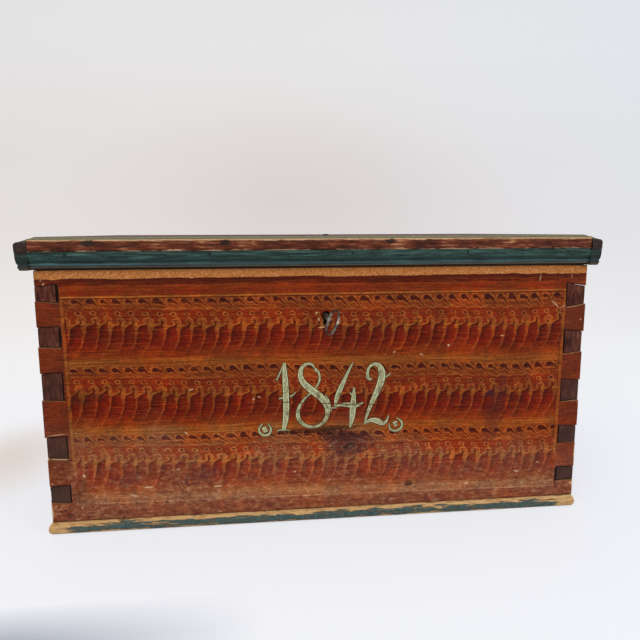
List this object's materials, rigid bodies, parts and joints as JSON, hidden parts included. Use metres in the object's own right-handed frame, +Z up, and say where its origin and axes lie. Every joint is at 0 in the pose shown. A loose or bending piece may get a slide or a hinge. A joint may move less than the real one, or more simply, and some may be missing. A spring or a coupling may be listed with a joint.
{
  "type": "painted folk art box",
  "caption": "Dovetailed pine box with a hinged, moulded lid, a key-worked bolt lock that takes a staple on the lid, and a grained painted front.",
  "frame": {"origin": "middle of the flat underside, on the surface that the box stands on", "axes": "+X to the right along the front, +Y from the front to the back, +Z up"},
  "size_m": [0.52, 0.331, 0.2718],
  "materials": {
    "grained_front": "red-brown vinegar graining with ochre combed bands over pine, old varnish",
    "grained_sides": "red-brown brushed graining over pine, worn at the edges",
    "stained_back": "bare pine with a thin brown stain",
    "base_planks": "blue-green paint worn to bare pine along the edges",
    "brown_lid": "dark red-brown paint with worn arrises",
    "green_moulding": "dark blue-green paint, slightly glossy",
    "dark_end_strip": "dark brown paint over end grain",
    "key_iron": "forged iron worn smooth",
    "bright_lock_iron": "oiled iron",
    "lock_iron": "blackened sheet iron with light rust",
    "hinge_iron": "forged iron, brown patina",
    "nail_iron": "hand-cut iron nails"
  },
  "bodies": {
    "case": {"front_board": "grained_front", "back_board": "stained_back", "left_side": "grained_sides", "right_side": "grained_sides", "bottom_front_plank": "base_planks", "bottom_back_plank": "base_planks", "bottom_nails": "nail_iron", "lock_plate": "lock_iron", "lock_rim": "lock_iron", "lock_cover": "lock_iron", "lock_posts": "lock_iron", "lock_nails": "nail_iron", "bolt_guides": "bright_lock_iron", "lock_spring": "bright_lock_iron", "hinge_back_leaf_left": "hinge_iron", "hinge_back_leaf_right": "hinge_iron", "hinge_pin_left": "hinge_iron", "hinge_pin_right": "hinge_iron", "hinge_back_nails": "nail_iron"},
    "lid": {"lid_panel": "brown_lid", "lid_front_moulding": "green_moulding", "lid_left_moulding": "green_moulding", "lid_right_moulding": "green_moulding", "lid_left_strip": "dark_end_strip", "lid_right_strip": "dark_end_strip", "moulding_nails": "nail_iron", "lock_staple": "nail_iron", "hinge_lid_leaf_left": "hinge_iron", "hinge_lid_leaf_right": "hinge_iron", "hinge_lid_nails": "nail_iron"},
    "key": {"key": "key_iron"},
    "bolt": {"lock_bolt": "bright_lock_iron"}
  },
  "joints": [
    {"name": "lid_hinge", "type": "hinge", "parent": "case", "child": "lid", "pos_m": [0, 0.146, 0.2405], "axis": [-1, 0, 0], "range_deg": [0, 105]},
    {"name": "key_turn", "type": "hinge", "parent": "case", "child": "key", "pos_m": [0.0022, -0.145, 0.1981], "axis": [0.1613, -0.9744, -0.1564], "range_deg": [-16, 58]},
    {"name": "bolt_slide", "type": "slide", "parent": "case", "child": "bolt", "axis": [-1, 0, 0], "range_m": [-0.0025, 0.0087]}
  ],
  "couplings": [
    {"joint": "bolt_slide", "follows": "key_turn", "m_per_rad": 0.0085}
  ]
}
